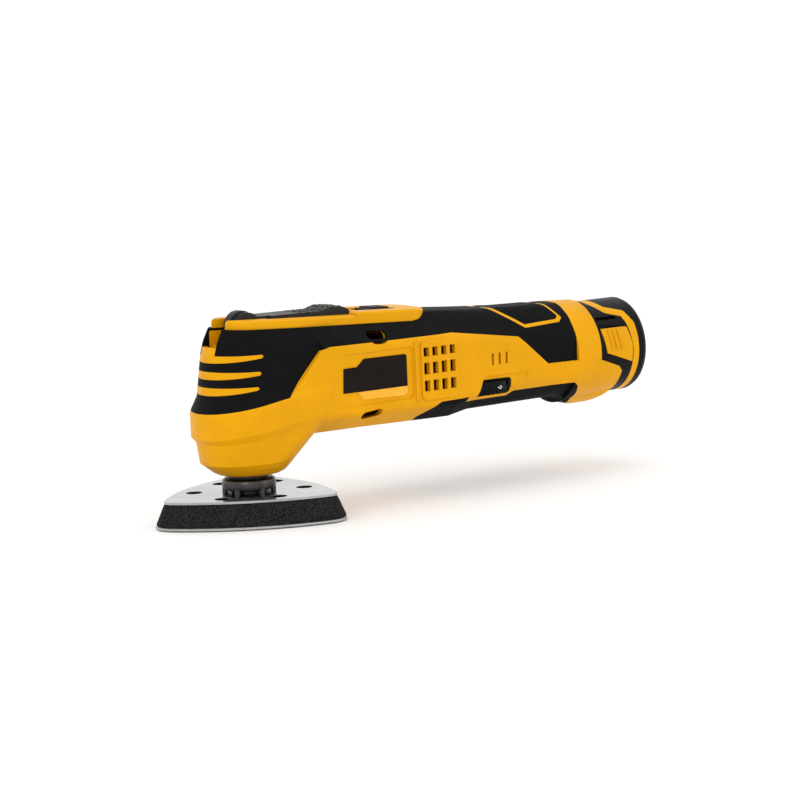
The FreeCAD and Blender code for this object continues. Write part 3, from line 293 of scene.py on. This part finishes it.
def polished_sheet(name):
    """Bright stamped steel with a faint brushed direction and hairline scratches."""
    m = NodeMaterial(name)
    rounded = m.rounded(0.3 * MM)
    brush = m.noise(1.0, 4.0, 0.7, m.stretched(60.0, 3800.0, 60.0))
    scratch = m.noise(1.0, 2.0, 0.5, m.stretched(2600.0, 90.0, 300.0))
    m.base(m.mix(m.ramp(m.noise(45.0, 4.0), 0.0, 1.0, 0.3, 0.7), (0.30, 0.30, 0.305), (0.46, 0.46, 0.46)))
    m.rough(m.math("ADD", m.ramp(brush, 0.08, 0.2, 0.3, 0.7), m.ramp(scratch, 0.0, 0.08, 0.62, 0.75)))
    m.normal(m.bump(brush, 0.02 * MM, 0.12, rounded))
    m.constant("Metallic", 1.0)
    return m.material


def plain_metal(name, colour, roughness, scale=700.0, depth=0.1):
    """Cast, plated or ground metal with a grainy skin."""
    m = NodeMaterial(name)
    rounded = m.rounded(0.3 * MM)
    grain = m.noise(scale, 5.0, 0.7)
    m.base(m.mix(m.ramp(m.noise(70.0, 4.0), 0.0, 1.0, 0.35, 0.65), colour, tuple(c * 0.8 for c in colour)))
    m.rough(m.ramp(grain, roughness - 0.07, roughness + 0.1, 0.3, 0.7))
    m.normal(m.bump(grain, 0.08 * MM, depth, rounded))
    m.constant("Metallic", 1.0)
    return m.material


STRIP_TOP = 59.8 * MM


def film_material():
    """Printed label film: near-black above, a plain amber strip below."""
    m = NodeMaterial("label_film")
    parts = m.node("SeparateXYZ")
    m.link(m.coordinates, parts.inputs["Vector"])
    above = m.math("GREATER_THAN", parts.outputs["Z"], STRIP_TOP)
    haze = m.ramp(m.noise(120.0, 4.0), 0.0, 1.0, 0.3, 0.7)
    dark = m.mix(haze, (0.0085, 0.0045, 0.0035), (0.014, 0.009, 0.008))
    amber = m.mix(haze, (0.83, 0.40, 0.03), (0.90, 0.47, 0.06))
    m.base(m.mix(above, amber, dark))
    m.rough(m.ramp(m.noise(260.0, 3.0), 0.26, 0.4, 0.3, 0.7))
    m.constant("Specular IOR Level", 0.06)
    m.normal(m.bump(m.noise(900.0, 2.0), 0.03 * MM, 0.05))
    return m.material


def foam_material():
    """Black open-cell foam: painted shade darkens the pores, which lie between grey struts."""
    m = NodeMaterial("open_cell_foam")
    pores = m.cells(900.0)
    fine = m.noise(2400.0, 3.0, 0.7)
    # painted shade: the pore hollows get the darker colour and the struts between them the lighter one
    m.base(m.mix(m.ramp(pores, 0.0, 1.0, 0.25, 0.6), (0.004, 0.004, 0.0045), (0.02, 0.02, 0.021)))
    m.constant("Roughness", 0.95)
    m.constant("Specular IOR Level", 0.12)
    m.normal(m.bump(pores, 0.6 * MM, 0.6, m.bump(fine, 0.3 * MM, 0.4)))
    return m.material


def hook_material():
    """Pale hook fabric, seen as fuzz."""
    m = NodeMaterial("hook_fabric")
    fuzz = m.noise(1800.0, 4.0, 0.7)
    m.base(m.mix(m.ramp(fuzz, 0.0, 1.0, 0.3, 0.7), (0.30, 0.30, 0.29), (0.62, 0.61, 0.58)))
    m.constant("Roughness", 0.85)
    m.normal(m.bump(fuzz, 0.5 * MM, 0.8))
    return m.material


# ---------------------------------------------------------------- materials of the carried-over nodes

def paint(material, *names):
    """Give every face of the named nodes one material."""
    for name in names:
        data = nodes[name].data
        if not data.materials:
            data.materials.append(material)
        for index in range(len(data.materials)):
            data.materials[index] = material


YELLOW = (0.76, 0.345, 0.0)
WORN_YELLOW = (0.84, 0.42, 0.01)
BLACK = (0.0035, 0.0035, 0.0037)


def paint_nodes():
    """Paint the carried-over nodes, and return the materials that the pieces made here share."""
    yellow = moulded("yellow_moulding", YELLOW, WORN_YELLOW, 0.38)
    rubber = soft_rubber("black_overmould", BLACK)
    black = moulded("black_moulding", (0.004, 0.004, 0.004), (0.016, 0.016, 0.016), 0.42, grain_depth=0.08)
    grey = moulded("grey_moulding", (0.028, 0.027, 0.026), (0.07, 0.07, 0.07), 0.4, grain_depth=0.08)
    green = moulded("solder_mask", (0.01, 0.10, 0.03), (0.05, 0.2, 0.08), 0.3)
    carbon = moulded("pressed_carbon", (0.03, 0.03, 0.03), (0.06, 0.06, 0.06), 0.6)
    sleeve = moulded("cell_sleeve", (0.02, 0.10, 0.35), (0.1, 0.2, 0.4), 0.25, grain_depth=0.0)
    steel = turned_steel("oiled_spindle_steel", (0.085, 0.082, 0.080), 0.3)
    neck = turned_steel("blackened_neck", (0.03, 0.03, 0.03), 0.35)
    bearing = turned_steel("bearing_steel", (0.6, 0.6, 0.6), 0.2)
    dark_steel = plain_metal("blackened_steel", (0.10, 0.10, 0.10), 0.4)
    plated = plain_metal("zinc_plate", (0.55, 0.55, 0.53), 0.3)
    cast = plain_metal("die_cast_aluminium", (0.6, 0.6, 0.61), 0.45, 500.0, 0.25)
    iron = plain_metal("laminated_iron", (0.2, 0.2, 0.2), 0.5)
    copper = plain_metal("copper", (0.72, 0.30, 0.14), 0.3)
    paint(yellow, "housing_left", "housing_right", "top_rail", "battery_band", "latch_button_left",
          "latch_button_right")
    paint(rubber, "overmould_left", "overmould_right")
    paint(black, "lever_deck", "dial_bezel", "switch_link", "switch_body", "motor_end_cap", "cooling_fan",
          "speed_potentiometer", "board_components", "terminal_block", "speed_dial", "battery_shell",
          "battery_end_cap")
    paint(grey, "release_lever", "switch_slider")
    paint(film_material(), "name_plate_left", "name_plate_right")
    paint(green, "control_board")
    paint(carbon, "carbon_brushes")
    paint(sleeve, "battery_cells")
    paint(steel, "tool_flange")
    paint(neck, "spindle")
    paint(bearing, "drive_fork", "spindle_bearing_lower", "spindle_bearing_upper", "eccentric_bearing",
          "clamp_spring", "motor_front_bush", "motor_rear_bush", "motor_shaft", "eccentric")
    paint(dark_steel, "lever_pin", "clamp_bolt", "housing_screws")
    paint(plated, "motor_can")
    paint(cast, "gear_case")
    paint(iron, "motor_magnets", "armature")
    paint(copper, "armature_windings", "commutator", "terminal_blades")
    paint(polished_sheet("polished_sheet_steel"), "pad_plate")
    white = moulded("white_print", (0.75, 0.75, 0.75), (0.6, 0.6, 0.6), 0.5, grain_depth=0.0, shine=0.2)
    return {"rubber": rubber, "grey": grey, "white": white}


# ---------------------------------------------------------------- pieces made here

def new_piece(name, mesh, material, body):
    """An object from a mesh, with its material, that moves with a body of the tool."""
    piece = bpy.data.objects.new(name, mesh)
    bpy.context.collection.objects.link(piece)
    mesh.materials.clear()
    mesh.materials.append(material)
    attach(piece, body)


def mesh_from(name, build, smooth=True):
    """A mesh filled in by a function that is given an empty bmesh."""
    shape = bmesh.new()
    build(shape)
    mesh = bpy.data.meshes.new(name)
    shape.to_mesh(mesh)
    shape.free()
    for face in mesh.polygons:
        face.use_smooth = smooth
    return mesh


def copied_mesh(node, name):
    """A free copy of a node's mesh in the frame's own coordinates."""
    mesh = nodes[node].data.copy()
    mesh.name = name
    mesh.transform(nodes[node].matrix_world)
    return mesh


def applied(piece):
    """Turn an object's modifiers into plain mesh."""
    graph = bpy.context.evaluated_depsgraph_get()
    mesh = bpy.data.meshes.new_from_object(piece.evaluated_get(graph))
    piece.modifiers.clear()
    old = piece.data
    piece.data = mesh
    bpy.data.meshes.remove(old)


# size of the faces, depth of the unevenness and its size along the surface
FOAM_GRAIN = (0.9 * MM, 0.22 * MM, 1.6 * MM)
FELT_GRAIN = (0.7 * MM, 0.15 * MM, 1.2 * MM)


def rough_copy(node, name, cell, depth, scale):
    """A node's shape rebuilt from small faces, slightly softened and uneven."""
    piece = bpy.data.objects.new(name, copied_mesh(node, name))
    bpy.context.collection.objects.link(piece)
    remesh = piece.modifiers.new("grain", "REMESH")
    remesh.mode = "VOXEL"
    remesh.voxel_size = cell
    soften = piece.modifiers.new("soften", "SMOOTH")
    soften.factor = 0.6
    soften.iterations = 4
    texture = bpy.data.textures.new(name + "_grain", "CLOUDS")
    texture.noise_scale = scale
    uneven = piece.modifiers.new("uneven", "DISPLACE")
    uneven.texture = texture
    uneven.strength = depth
    uneven.mid_level = 0.6
    applied(piece)
    for face in piece.data.polygons:
        face.use_smooth = True
    return piece


def make_foam():
    """The flared block of open-cell foam between the steel plate and the hook layer."""
    piece = rough_copy("pad_foam", "foam_block", *FOAM_GRAIN)
    piece.data.materials.clear()
    piece.data.materials.append(foam_material())
    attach(piece, "spindle")
    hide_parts("pad_foam")


FIBRES = 5200
FIBRE_LENGTH = 1.1 * MM
FIBRE_WIDTH = 0.05 * MM
FIBRE_ROWS = 4
UNDERSIDE_LENGTH = 0.25 * MM    # longest fibre on the flat sides
GROUND_GAP = 0.02 * MM          # fibres end at least this far above the ground
RIM_SHARE = 6.0                 # how much denser the fringe is than the underside


def add_fibre(shape, root, way, length, dice):
    """One bent fibre: a thin three-sided tube that curls to one side."""
    side = way.orthogonal().normalized()
    other = way.cross(side)
    turn = dice.uniform(0, 2 * math.pi)
    lean = side * math.cos(turn) + other * math.sin(turn)
    rows = []
    for k in range(FIBRE_ROWS):
        t = k / (FIBRE_ROWS - 1)
        middle = root + way * length * t * (1 - 0.25 * t) + lean * length * 0.55 * t * t
        width = FIBRE_WIDTH * (1 - 0.5 * t)
        rows.append([shape.verts.new(middle + width * (math.cos(a) * side + math.sin(a) * other))
                     for a in (0.0, 2.1, 4.2)])
    for low_row, high_row in zip(rows, rows[1:]):
        for k in range(3):
            shape.faces.new((low_row[k], low_row[(k + 1) % 3], high_row[(k + 1) % 3], high_row[k]))


def make_hook_layer():
    """A thin felt-like backing with a fringe of pale fibres and hooks along its edge and underside."""
    felt = rough_copy("pad_hook_face", "hook_backing", *FELT_GRAIN)
    dice = random.Random(11)
    faces = list(felt.data.polygons)
    weights = [face.area * (RIM_SHARE if abs(face.normal.z) < 0.5 else 1.0 if face.normal.z < 0 else 0.0)
               for face in faces]

    def fringe(shape):
        for face in dice.choices(faces, weights, k=FIBRES):
            centre = Vector(face.center)
            way = (Vector(face.normal) + Vector([dice.uniform(-0.6, 0.6) for _ in range(3)])).normalized()
            length = FIBRE_LENGTH * dice.uniform(0.4, 1.0)
            if abs(face.normal.z) > 0.5:
                length = min(length, UNDERSIDE_LENGTH)
            if centre.z + way.z * length < GROUND_GAP:
                way = Vector((way.x, way.y, abs(way.z) * 0.3)).normalized()
            add_fibre(shape, centre, way, length, dice)

    felt.data.materials.clear()
    felt.data.materials.append(hook_material())
    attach(felt, "spindle")
    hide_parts("pad_hook_face")
    fuzz = NodeMaterial("hook_fibre")
    tone = fuzz.ramp(fuzz.noise(700.0), 0.0, 1.0, 0.3, 0.7)
    fuzz.base(fuzz.mix(tone, (0.42, 0.40, 0.37), (0.74, 0.72, 0.68)))
    fuzz.constant("Roughness", 0.6)
    new_piece("hook_fringe", mesh_from("hook_fringe", fringe), fuzz.material, "spindle")


DIAL_MARKS = 6
DIAL_MARK_STEP = math.radians(44.0)
DIAL_MARK_SIZE = 4.2 * MM
DIAL_FIRST_MARK = math.radians(8.0)     # where the highest figure stands, from the middle of the left side
PRINT_HEIGHT = 0.02 * MM
PRINT_GAP = 0.03 * MM


def make_dial_numbers(paint_white):
    """Printed figures round the rim of the thumbwheel, the highest one in the window."""
    low_corner, high_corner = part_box("speed_dial")
    middle = (Vector(low_corner) + Vector(high_corner)) / 2
    radius = (high_corner[0] - low_corner[0]) / 2 + PRINT_GAP
    for k in range(DIAL_MARKS):
        curve = bpy.data.curves.new("figure", "FONT")
        curve.body = str(DIAL_MARKS - k)
        curve.size = DIAL_MARK_SIZE
        curve.extrude = PRINT_HEIGHT
        curve.align_x = curve.align_y = "CENTER"
        holder = bpy.data.objects.new("figure", curve)
        bpy.context.collection.objects.link(holder)
        graph = bpy.context.evaluated_depsgraph_get()
        mesh = bpy.data.meshes.new_from_object(holder.evaluated_get(graph))
        bpy.data.objects.remove(holder)
        angle = -math.pi / 2 + DIAL_FIRST_MARK + k * DIAL_MARK_STEP
        outward = Vector((math.cos(angle), math.sin(angle), 0.0))
        along = Vector((0.0, 0.0, 1.0))
        across = outward.cross(along)
        turn = Matrix((along, across, outward)).transposed().to_4x4()
        mesh.transform(Matrix.Translation(middle + outward * radius) @ turn)
        new_piece("dial_figure_%d" % (DIAL_MARKS - k), mesh, paint_white, "dial")


# ---------------------------------------------------------------- raised textures

def dome(shape, centre, out, radius, height, sides=6):
    """A low dome on a surface."""
    side = out.orthogonal().normalized()
    other = out.cross(side)
    rings = []
    for share, lift in ((1.0, -0.3), (0.8, 0.6)):
        rings.append([shape.verts.new(centre + out * height * lift + radius * share *
                                      (math.cos(2 * math.pi * k / sides) * side +
                                       math.sin(2 * math.pi * k / sides) * other)) for k in range(sides)])
    top = shape.verts.new(centre + out * height)
    for k in range(sides):
        after = (k + 1) % sides
        shape.faces.new((rings[0][k], rings[0][after], rings[1][after], rings[1][k]))
        shape.faces.new((rings[1][k], rings[1][after], top))


def surface_point(node, start, way):
    """Where a ray meets a node, and the surface's direction there."""
    holder = nodes[node]
    back = holder.matrix_world.inverted()
    hit, place, normal, _ = holder.ray_cast(back @ start, (back.to_3x3() @ way).normalized())
    if not hit:
        return None, None
    return holder.matrix_world @ place, (holder.matrix_world.to_3x3() @ normal).normalized()


PATCH = [(147.2, 93.5), (161.4, 84.2), (181.4, 84.9), (183.0, 86.0), (179.4, 93.0)]
PATCH_STEP = 1.15           # millimetres between domes
PATCH_START = 145.0         # front of the first column
PATCH_ROWS = 40
PATCH_COLUMNS = 40
GRIP_AXIS = 0.066           # middle of the rear grip's section
GRIP_RADIUS = 25.5
LOWEST_ROW = math.radians(20.0)
RAY_START = 0.06            # how far outside the section the search for the surface starts
BARE_TOP = 5.4 * MM         # half width of the strip along the top that has no domes


def inside(x, z, outline):
    """Whether a point of the side view lies inside an outline."""
    hit = False
    for (x1, z1), (x2, z2) in zip(outline, outline[1:] + outline[:1]):
        if (z1 > z) != (z2 > z) and x < (x2 - x1) * (z - z1) / (z2 - z1) + x1:
            hit = not hit
    return hit


def make_grip_texture(rubber):
    """Rows of small domes inside the outlined patches of the rear grip."""
    for label, side in (("left", -1), ("right", 1)):
        def fill(shape):
            for row in range(PATCH_ROWS):
                for column in range(PATCH_COLUMNS):
                    x = PATCH_START + PATCH_STEP * (column + 0.5 * (row % 2))
                    angle = LOWEST_ROW + row * PATCH_STEP / GRIP_RADIUS
                    way = Vector((0.0, -side * math.cos(angle), -math.sin(angle)))
                    start = Vector((x * MM, 0.0, GRIP_AXIS)) - way * RAY_START
                    place, normal = surface_point("overmould_" + label, start, way)
                    if place is None or abs(place.y) < BARE_TOP:
                        continue
                    if not inside(place.x / MM, place.z / MM, PATCH):
                        continue
                    dome(shape, place, normal, 0.42 * MM, 0.22 * MM)
        new_piece("grip_texture_" + label, mesh_from("grip_texture_" + label, fill), rubber, "housing")


LEVER_BUMPS = 42
BUMPS_ACROSS = 6
BUMP_HEIGHT = 0.4 * MM
BARE_TAIL = 3.0 * MM        # stretch of the lever's end without pads
ABOVE_TOOL = 0.12           # a height clear of the whole tool


def make_lever_bumps(grey):
    """Irregular raised pads on the tail of the release lever, for the thumb."""
    dice = random.Random(5)
    _, high_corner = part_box("release_lever")

    def fill(shape):
        for k in range(LEVER_BUMPS):
            row, column = divmod(k, BUMPS_ACROSS)
            x = (31.5 + 4.0 * row + dice.uniform(-0.7, 0.7)) * MM
            y = (-6.2 + 2.5 * column + dice.uniform(-0.4, 0.4)) * MM
            place, normal = surface_point("release_lever", Vector((x, y, ABOVE_TOOL)), Vector((0, 0, -1)))
            if place is None or x > high_corner[0] - BARE_TAIL:
                continue
            radius = dice.uniform(0.7, 1.15) * MM
            dome(shape, place, normal, radius, BUMP_HEIGHT, sides=dice.choice((4, 5, 6)))

    mesh = mesh_from("lever_grip_bumps", fill, smooth=False)
    new_piece("lever_grip_bumps", mesh, grey, "lever")


# ---------------------------------------------------------------- build the scene

make_camera()
make_studio()
materials = paint_nodes()
make_foam()
make_hook_layer()
make_dial_numbers(materials["white"])
make_grip_texture(materials["rubber"])
make_lever_bumps(materials["grey"])
